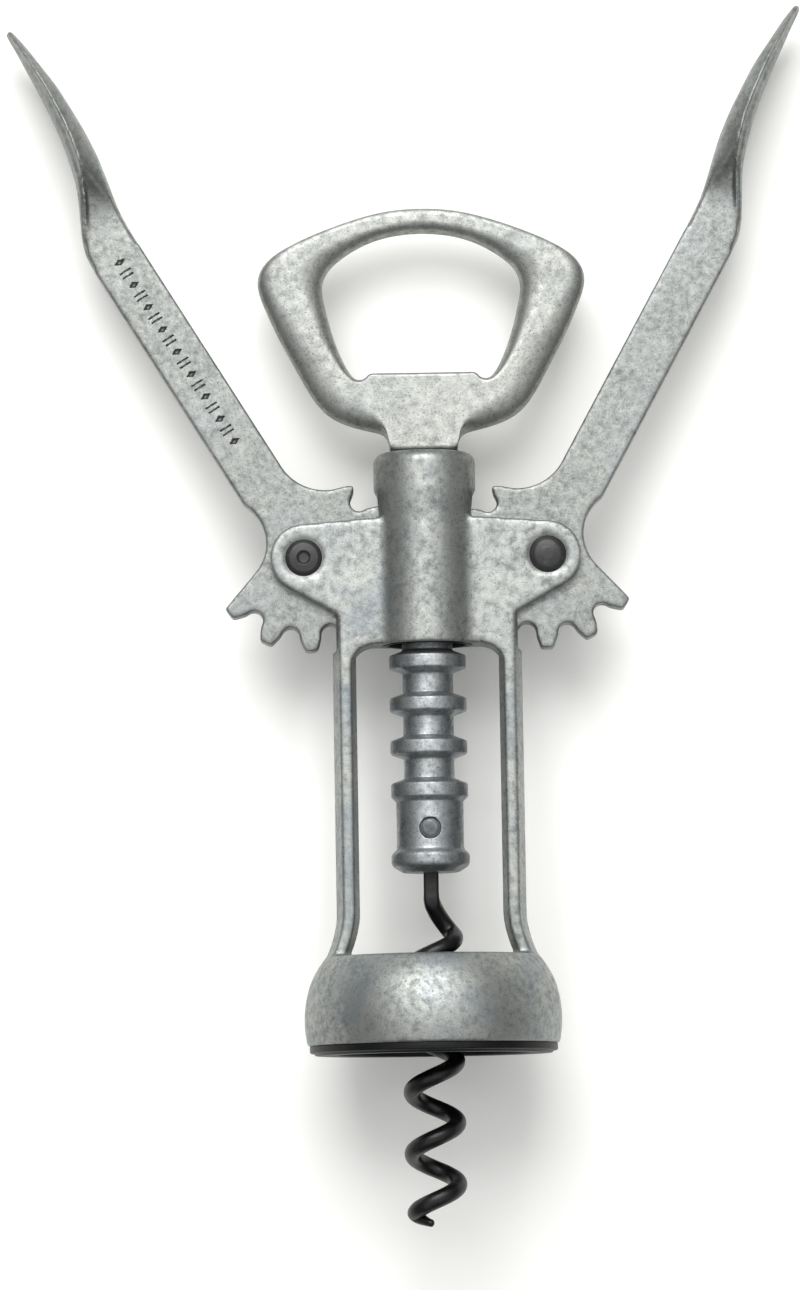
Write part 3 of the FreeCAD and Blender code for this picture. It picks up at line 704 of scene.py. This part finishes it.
@dataclass
class Rack:
    """The turned round rack and the worm's pin."""

    zinc: bpy.types.Material
    steel: bpy.types.Material
    pitch: float = 6.85
    first: float = 42.15
    count: int = 8
    ring: float = 6.16
    root: float = 4.05
    ring_width: float = 2.1
    root_width: float = 3.7
    body_radius: float = 5.37
    collar: float = 6.26
    bottom: float = 29.0
    top: float = 92.0
    pin_height: float = 35.9
    pin_radius: float = 1.7

    def outline(self) -> Array:
        """The rack's half section: a rounded collar, the plain body and a run of rounded rings.

        Returns:
            Closed outline of (radius, height) in metres.
        """
        corners = [(0, self.bottom, 0), (4.5, self.bottom, 1.1), (self.collar, self.bottom + 1.1, 1.1)]
        corners += [(self.collar, self.bottom + 2.9, 0.9), (self.body_radius, self.bottom + 3.7, 0.8)]
        corners += [(self.body_radius, self.bottom + 4.3 + 0.4 * row, 0) for row in range(15)]
        corners += [(self.body_radius, self.first - self.ring_width / 2 - 0.8, 0.4)]
        for number in range(self.count):
            middle = self.first + number * self.pitch
            if number:
                corners.append((self.root, middle - self.root_width / 2, 0.35))
            corners.append((self.ring, middle - self.ring_width / 2, 0.45))
            corners.append((self.ring, middle + self.ring_width / 2, 0.45))
            if number < self.count - 1:
                corners.append((self.root, middle + self.root_width / 2, 0.35))
        corners += [(self.ring - 0.4, self.top, 0.2), (0, self.top, 0)]
        return rounded_profile(corners) * MM

    def build(self) -> None:
        """Makes the rack with its pin hole, and the pin's slightly domed ends."""
        rack = turned_piece("rack_turned", self.outline(), 160)
        reach, bore = self.body_radius + 3.63, self.pin_radius + 0.06
        hole = np.array([(0, -reach), (bore, -reach), (bore, reach), (0, reach)])
        drill = turned_piece("pin_drill", hole * MM, 64)
        stand_across(drill, self.pin_height * MM)
        cut_by(rack, drill, "DIFFERENCE")
        settle(rack, Body.SCREW, "rack_shaft", self.zinc)
        end = self.body_radius - 0.3
        corners = [(0, -end - 0.12, 0), (1.1, -end - 0.05, 0.4), (self.pin_radius, -end + 0.2, 0.2)]
        corners += [(self.pin_radius, end - 0.2, 0.2), (1.1, end + 0.05, 0.4), (0, end + 0.12, 0)]
        pin = turned_piece("worm_cross_pin", rounded_profile(corners) * MM, 64)
        stand_across(pin, self.pin_height * MM)
        settle(pin, Body.SCREW, "worm_pin", self.steel)


def stand_across(piece: bpy.types.Object, height: float, across: float = 0.0) -> None:
    """Turns a piece made about Z so that it lies along Y, at a place across and up."""
    piece.data.transform(Matrix.Translation((across, 0, height)) @ Matrix.Rotation(math.pi / 2, 4, "X"))


@dataclass
class Worm:
    """The wire worm: square shank, a bend, an open right-hand helix and a blunt drawn-in tip."""

    coat: bpy.types.Material
    wire: float = 1.375
    radius: float = 3.595
    pitch: float = 9.8
    phase: float = -1.1
    helix_top: float = 18.8
    helix_end: float = -25.2
    shank_end: float = 25.0
    shank_top: float = 31.6
    tip: tuple[float, float, float] = (-0.9, -2.4, -26.8)
    tip_wire: float = 0.62
    shank_half: float = 1.22

    def helix(self, height: Array) -> Array:
        """Points of the helix's centre line at these heights."""
        turn = 2 * np.pi * (height - self.phase) / self.pitch
        return np.stack([self.radius * np.cos(turn), self.radius * np.sin(turn), height], -1)

    def bend(self, start: Array, way_in: Array, end: Array, way_out: Array, steps: int) -> Array:
        """A cubic curve that leaves one point one way and reaches another another way."""
        s = np.linspace(0, 1, steps)[:, None]
        rest = 1 - s
        leaving = (1 + 2 * s) * rest**2 * start + s * rest**2 * way_in
        return leaving + s**2 * (3 - 2 * s) * end - s**2 * rest * way_out

    def path(self) -> Array:
        """The wire's centre line from the shank's top to the tip, evenly spaced."""
        shank = np.stack([np.zeros(20), np.zeros(20), np.linspace(self.shank_top, self.shank_end, 20)], -1)
        coil = self.helix(np.linspace(self.helix_top, self.helix_end, 700))
        fall_in = coil[0] - self.helix(np.array([self.helix_top + 0.35]))[0]
        fall_out = self.helix(np.array([self.helix_end - 1.0]))[0] - coil[-1]
        turn_in = self.bend(shank[-1], np.array([0, 0, -6.0]), coil[0], fall_in * 11, 90)
        turn_out = self.bend(coil[-1], fall_out * 1.6, np.array(self.tip), np.array([2.2, -0.6, -0.6]), 40)
        rough = np.concatenate([shank[:-1], turn_in[:-1], coil[:-1], turn_out])
        run = np.concatenate([[0], np.cumsum(np.linalg.norm(np.diff(rough, axis=0), axis=1))])
        even = np.linspace(0, run[-1], 620)
        return np.stack([np.interp(even, run, rough[:, axis]) for axis in range(3)], -1)

    def build(self) -> None:
        """Carries a section along the path: a rounded square, then round wire, drawn in at the tip."""
        path = self.path()
        side, other = carried_frames(path)
        steps = np.linalg.norm(np.diff(path, axis=0), axis=1)
        left = np.linspace(1, 0, len(path)) * steps.sum()
        along = np.cumsum(np.r_[0, steps])
        square = 1 - smooth_step((along - (self.shank_top - self.shank_end) + 1.0) / 3.0)
        power = 2 + 5 * square
        drawn = smooth_step(left / 6.0) ** 0.7
        size = self.tip_wire + (self.wire - self.tip_wire) * drawn
        size = size * (1 - square) + self.shank_half * square
        angle = np.linspace(0, 2 * np.pi, 40, endpoint=False)[None, :]
        power = power[:, None]
        bent = (np.abs(np.cos(angle)) ** power + np.abs(np.sin(angle)) ** power) ** (-1 / power)
        reach = (size[:, None] * bent)[..., None]
        points = path[:, None] + reach * (
            np.cos(angle)[..., None] * side[:, None] + np.sin(angle)[..., None] * other[:, None]
        )
        tip_way = path[-1] - path[-2]
        tip_way /= np.linalg.norm(tip_way)
        lean = np.linspace(0.15, 1, 8) * np.pi / 2
        cap = path[-1] + (points[-1] - path[-1]) * np.cos(lean)[:, None, None] + (
            np.sin(lean)[:, None, None] * tip_way * self.tip_wire * 0.8
        )
        points = np.concatenate([path[:1, None].repeat(40, 1), points, cap])
        piece = new_piece("worm_wire", points * MM, [grid_faces(len(points), 40, False, True)])
        settle(piece, Body.SCREW, "worm", self.coat)


@dataclass
class BellRing:
    """The black ring in the bell: a flange under the rim, a sleeve round the bottle and the worm's guide."""

    plastic: bpy.types.Material

    def build(self) -> None:
        """Turns the ring's section about the screw's axis."""
        corners = [
            (15.2, 0.0, 0.4),
            (18.9, 0.0, 0.15),
            (19.2, 0.35, 0.15),
            (19.8, 0.35, 0.3),
            (19.8, 1.5, 0.1),
            (17.25, 1.5, 0.05),
            (17.25, 12.8, 0.4),
            (5.7, 12.8, 0.5),
            (5.7, 10.8, 0.5),
            (15.2, 10.8, 0.8),
        ]
        piece = turned_piece("bell_ring_moulding", rounded_profile(corners) * MM, 192)
        settle(piece, Body.FRAME, "bell_insert", self.plastic)


@dataclass
class Rivet:
    """A black pivot rivet with a domed head at one end and a peened, dimpled tail at the other."""

    node: str
    tail_front: bool
    steel: bpy.types.Material
    height: float = 79.5
    head: float = 2.95
    shank: float = 2.2
    seat: float = 4.1

    def build(self) -> None:
        """Turns the rivet about its own axis and lays it across the frame."""
        s, head = self.seat, self.head
        tail = [(0, s + 0.42, 0), (0.75, s + 0.42, 0.25), (1.15, s + 0.72, 0.2), (2.3, s + 0.6, 0.5)]
        corners = [*tail, (head, s + 0.2, 0.15), (head, s, 0.1), (self.shank, s, 0), (self.shank, -s, 0)]
        corners += [(head, -s, 0.1), (head, -s - 0.25, 0.2), (2.1, -s - 0.72, 1.6), (0.9, -s - 0.9, 1.6)]
        corners += [(0, -s - 0.92, 0)]
        piece = turned_piece(self.node + "_turned", rounded_profile(corners) * MM, 96)
        box_low, box_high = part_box(self.node)
        if not self.tail_front:
            piece.data.transform(Matrix.Rotation(math.pi, 4, "X"))
        stand_across(piece, self.height * MM, (box_low[0] + box_high[0]) / 2)
        settle(piece, Body.FRAME, self.node, self.steel)


def smooth_loop(knots: Array, spots: Array, places: Array) -> Array:
    """A closed cubic spline through points, with one curvature on both sides of each point.

    Args:
        knots: the parameter at each point, rising from 0; the last value closes the loop.
        spots: the points, two numbers each.
        places: parameters at which the spline is wanted.

    Returns:
        The spline's points.
    """
    gap = np.diff(knots)
    count = len(spots)
    system, right = np.zeros((count, count)), np.zeros_like(spots)
    for index in range(count):
        before, after = index - 1, (index + 1) % count
        system[index, before] += gap[before]
        system[index, index] += 2 * (gap[before] + gap[index])
        system[index, after] += gap[index]
        rise_after = (spots[after] - spots[index]) / gap[index]
        right[index] = 6 * (rise_after - (spots[index] - spots[before]) / gap[before])
    bend = np.linalg.solve(system, right)
    start = np.clip(np.searchsorted(knots, places, side="right") - 1, 0, count - 1)
    end = (start + 1) % count
    width = gap[start][:, None]
    ahead = (places - knots[start])[:, None] / width
    back = 1 - ahead
    chord = back * spots[start] + ahead * spots[end]
    return chord + width**2 / 6 * ((back**3 - back) * bend[start] + (ahead**3 - ahead) * bend[end])


@dataclass
class OpenerHead:
    """The turning handle: a pillow-shaped ring round the crown-cap loop, on a flat plate and a round neck."""

    zinc: bpy.types.Material
    steel: bpy.types.Material
    half: float = 3.0
    neck: float = 6.16
    neck_low: float = 92.0
    neck_high: float = 96.4
    spigot: float = 2.9
    spigot_low: float = 80.0
    rounds: int = 480
    across: int = 30

    def rows(self) -> Array:
        """Pairs of outer and inner points from the neck over one side to the crown.

        Returns:
            Rows of outer across, outer height, inner across, inner height, outer rounding, inner rounding
            and the share of the thickness left at the outer edge.
        """
        return np.array(
            [
                (0.0, 96.5, 0.0, 109.5, 0.5, 0.5, 0.2),
                (3.4, 96.5, 3.0, 109.5, 0.5, 0.5, 0.2),
                (5.35, 96.6, 5.6, 109.5, 1.0, 0.5, 0.1),
                (5.6, 98.0, 7.4, 109.5, 1.4, 0.5, 0.1),
                (6.4, 99.3, 8.5, 109.4, 2.2, 0.5, 0.05),
                (8.3, 100.0, 9.2, 108.8, 3.0, 0.6, 0.0),
                (11.0, 100.7, 10.3, 108.5, 3.6, 0.8, 0.0),
                (14.8, 102.4, 11.4, 109.2, 4.3, 1.0, 0.0),
                (17.7, 105.5, 12.3, 110.6, 4.8, 1.3, 0.05),
                (20.2, 109.9, 13.4, 113.0, 4.8, 1.8, 0.1),
                (22.8, 114.8, 14.5, 116.2, 4.4, 2.6, 0.15),
                (25.3, 120.4, 15.6, 120.6, 3.6, 3.6, 0.25),
                (26.35, 124.6, 15.9, 123.9, 3.0, 4.6, 0.35),
                (25.2, 127.4, 14.9, 126.2, 2.6, 4.8, 0.5),
                (22.0, 129.8, 12.6, 128.3, 2.2, 4.4, 0.7),
                (17.6, 131.9, 10.0, 129.9, 1.8, 3.4, 0.7),
                (12.0, 134.0, 6.8, 131.2, 1.5, 2.4, 0.7),
                (6.0, 135.6, 3.4, 131.9, 1.4, 1.9, 0.7),
                (0.0, 136.1, 0.0, 132.1, 1.4, 1.8, 0.7),
            ]
        )

    def ring(self) -> tuple[Array, Array, Array]:
        """The ring's outer edge, inner edge and edge shapes, sampled all the way round.

        Returns:
            Outer points and inner points in millimetres, and rows of both roundings and the outer edge's
            share.
        """
        side = self.rows()
        other = side[-2:0:-1] * (-1, 1, -1, 1, 1, 1, 1)
        loop = np.concatenate([side, other])
        steps = np.linalg.norm(np.roll(loop[:, :4], -1, axis=0) - loop[:, :4], axis=1)
        knots = np.concatenate([[0], np.cumsum(steps**0.75)])
        places = np.linspace(0, knots[-1], self.rounds, endpoint=False)
        return tuple(smooth_loop(knots, loop[:, pair], places) for pair in ((0, 1), (2, 3), (4, 5, 6)))

    def pillow(self) -> bpy.types.Object:
        """The ring and plate as one closed band.

        Across the band the face stands at half the thickness; within its rounding of either edge it falls
        along a quarter ellipse to the edge's share, and a small lip closes it at the middle plane.

        Returns:
            The new object.
        """
        outer, inner, shape = self.ring()
        width = np.linalg.norm(inner - outer, axis=1)[:, None]
        share = (1 - np.cos(np.linspace(0, np.pi, self.across)))[None, :] / 2
        from_outer, from_inner = share * width, (1 - share) * width
        face = self.half
        for run, edge, left in ((from_outer, shape[:, :1], shape[:, 2:]), (from_inner, shape[:, 1:2], 0.15)):
            arc = np.sqrt(1 - (1 - np.clip(run / edge, 0, 1)) ** 2)
            lip = np.sqrt(1 - (1 - np.clip(run / 0.5, 0, 1)) ** 2)
            face = face * (left + (1 - left) * arc) * lip
        spread = outer[:, None] * (1 - share[..., None]) + inner[:, None] * share[..., None]
        front = np.stack([spread[..., 0], -face, spread[..., 1]], -1)
        back = (front * (1, -1, 1))[:, -2:0:-1]
        points = np.concatenate([front, back], 1) * MM
        return new_piece("head_ring", points, [grid_faces(*points.shape[:2], True, True)])

    def build(self) -> None:
        """Makes the ring, joins the neck and spigot to it, and adds the pin through the spigot."""
        ring = self.pillow()
        corners = [(0, self.spigot_low, 0), (self.spigot, self.spigot_low, 0.3)]
        corners += [(self.spigot, self.neck_low, 0.2), (self.neck, self.neck_low, 0.3)]
        corners += [(self.neck, self.neck_high, 0.5), (0, self.neck_high, 0)]
        neck = turned_piece("head_neck", rounded_profile(corners) * MM, 96)
        cut_by(ring, neck, "UNION")
        settle(ring, Body.SCREW, "opener_head", self.zinc)
        corners = [(0, -3.9, 0), (1.2, -3.9, 0.2), (1.2, 3.9, 0.2), (0, 3.9, 0)]
        pin = turned_piece("head_cross_pin", rounded_profile(corners) * MM, 48)
        stand_across(pin, 86.7 * MM)
        settle(pin, Body.SCREW, "head_pin", self.steel)


@dataclass
class GuideBush:
    """The plain sleeve in the barrel's lower mouth; dressed black, it is also painted shade for the shadow
    inside the bore's mouth.
    """

    material: bpy.types.Material
    bore: float = 6.22
    outside: float = 7.0
    low: float = 65.4
    high: float = 68.6
    edge_round: float = 0.15

    def build(self) -> None:
        """Turns the sleeve's section about the screw's axis."""
        corners = [(self.bore, self.low), (self.outside, self.low)]
        corners += [(self.outside, self.high), (self.bore, self.high)]
        corners = [(*corner, self.edge_round) for corner in corners]
        piece = turned_piece("guide_sleeve", rounded_profile(corners) * MM, 128)
        settle(piece, Body.BUSH, "guide_bush", self.material)


@dataclass
class Studio:
    """A pale card that the corkscrew lies on, soft lamps and the camera square to the card."""

    lens_mm: float = 174.0
    distance: float = 1.0
    aim: tuple[float, float] = (-4.35, 65.6)
    roll_deg: float = 0.95
    touch_low: tuple[float, float] = (20.9, 8.0)
    touch_high: tuple[float, float] = (8.2, 152.0)
    lamp_aim: float = 70.0

    def axes(self) -> tuple[Vector, Vector, Vector]:
        """The card's right, up and outward directions; it touches the bell's and the levers' backs."""
        lean = math.atan2(self.touch_high[0] - self.touch_low[0], self.touch_high[1] - self.touch_low[1])
        up = Vector((0, math.sin(lean), math.cos(lean)))
        right = Vector((1, 0, 0))
        return right, up, right.cross(up)

    def build(self) -> None:
        """Makes the card, the lamps, the sky and the camera."""
        right, up, out = self.axes()
        foot = Vector((0, self.touch_low[0], self.touch_low[1])) * MM
        span = np.linspace(-1.5, 1.5, 13)
        grid = np.stack(np.meshgrid(span, span, indexing="ij"), -1)
        points = np.array(foot) + grid[..., :1] * np.array(right) + grid[..., 1:] * np.array(up)
        mesh = bpy.data.meshes.new("studio_card")
        mesh.from_pydata(points.reshape(-1, 3).tolist(), [], grid_faces(13, 13, False, False).tolist())
        card = bpy.data.objects.new("studio_card", mesh)
        bpy.context.scene.collection.objects.link(card)
        if mesh.polygons[0].normal.dot(out) < 0:
            mesh.flip_normals()
        dress(card, StudioSheet().material())
        self.light(right, up, out)
        self.camera(right, up, out)

    def light(self, right: Vector, up: Vector, out: Vector) -> None:
        """Adds a soft key from above, a broad lamp in front and an even sky.

        Args:
            right: the card's right.
            up: the card's up.
            out: the way out of the card.
        """
        middle = Vector((0, 0, self.lamp_aim * MM))
        for name, place, size, power in (
            ("key", -0.1 * right + 0.8 * up + 0.95 * out, 0.8, 15.0),
            ("front", 0.02 * right + 0.1 * up + 1.1 * out, 2.0, 12.2),
        ):
            lamp = bpy.data.lights.new(name, "AREA")
            lamp.size = size
            lamp.energy = power
            stand = bpy.data.objects.new(name, lamp)
            stand.location = middle + place
            stand.rotation_euler = (-place).to_track_quat("-Z", "Y").to_euler()
            bpy.context.scene.collection.objects.link(stand)
        world = bpy.data.worlds.new("even_sky")
        world.use_nodes = True
        world.node_tree.nodes["Background"].inputs["Color"].default_value = linear_colour("f4f5f5")
        world.node_tree.nodes["Background"].inputs["Strength"].default_value = 0.25
        bpy.context.scene.world = world

    def camera(self, right: Vector, up: Vector, out: Vector) -> None:
        """Sets the camera square to the card, rolled slightly, as one looks down at a table.

        Args:
            right: the card's right.
            up: the card's up.
            out: the way out of the card.
        """
        data = bpy.data.cameras.new("camera")
        data.lens = self.lens_mm
        data.sensor_width = 36.0
        camera = bpy.data.objects.new("camera", data)
        roll = math.radians(self.roll_deg)
        across = math.cos(roll) * right - math.sin(roll) * up
        tall = math.cos(roll) * up + math.sin(roll) * right
        aim = Vector((self.aim[0] * MM, 0, self.aim[1] * MM))
        turn = Matrix((across, tall, out)).transposed().to_4x4()
        camera.matrix_world = Matrix.Translation(aim + out * self.distance) @ turn
        bpy.context.scene.collection.objects.link(camera)
        bpy.context.scene.camera = camera
        bpy.context.scene.view_settings.view_transform = "Standard"


def main() -> None:
    """Builds every sub-assembly in order."""
    logging.basicConfig(level=logging.INFO, format="%(name)s: %(message)s")
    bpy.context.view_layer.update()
    zinc = TumbledZinc(cool="7a8288", blotch_mm=6.5, tint_share=0.5).material()
    dull = {"dark": "6f7271", "middle": "868986", "light": "949591"}
    lever_zinc = TumbledZinc(name="tumbled_zinc_alloy_dull", **dull).material()
    fine = {"dark": "838684", "middle": "9a9c98", "light": "a7a8a3", "worn": "b2b3af"}
    head_zinc = TumbledZinc(name="tumbled_zinc_alloy_fine", tint_share=0.15, **fine).material()
    turned = {"dark": "7a7f83", "middle": "9da1a3", "light": "b6b8b6"}
    rack_zinc = TumbledZinc(name="turned_zinc_alloy", **turned).material()
    steel = CoatedSteel(name="black_oxided_steel", coat="2b2b2c", rubbed="6a6862", roughness=0.36).material()
    coat = CoatedSteel().material()
    plastic = MouldedPlastic().material()
    pin = {"dark": "3a3c3e", "middle": "4e5153", "light": "686a6b", "worn": "7c7e7e"}
    dull_steel = TumbledZinc(name="dull_pin_steel", **pin).material()
    Frame(zinc).build()
    Lever("lever_left", Body.LEFT, -1, 31.65, True, lever_zinc).build()
    Lever("lever_right", Body.RIGHT, 1, 28.8, False, lever_zinc).build()
    Rack(rack_zinc, dull_steel).build()
    Worm(coat).build()
    BellRing(plastic).build()
    Rivet("rivet_left", True, steel).build()
    Rivet("rivet_right", False, steel).build()
    OpenerHead(head_zinc, dull_steel).build()
    # The sleeve is dressed in black plastic so that it gives painted shade inside the barrel's lower mouth.
    GuideBush(plastic).build()
    Studio().build()


if __name__ == "__main__":
    main()
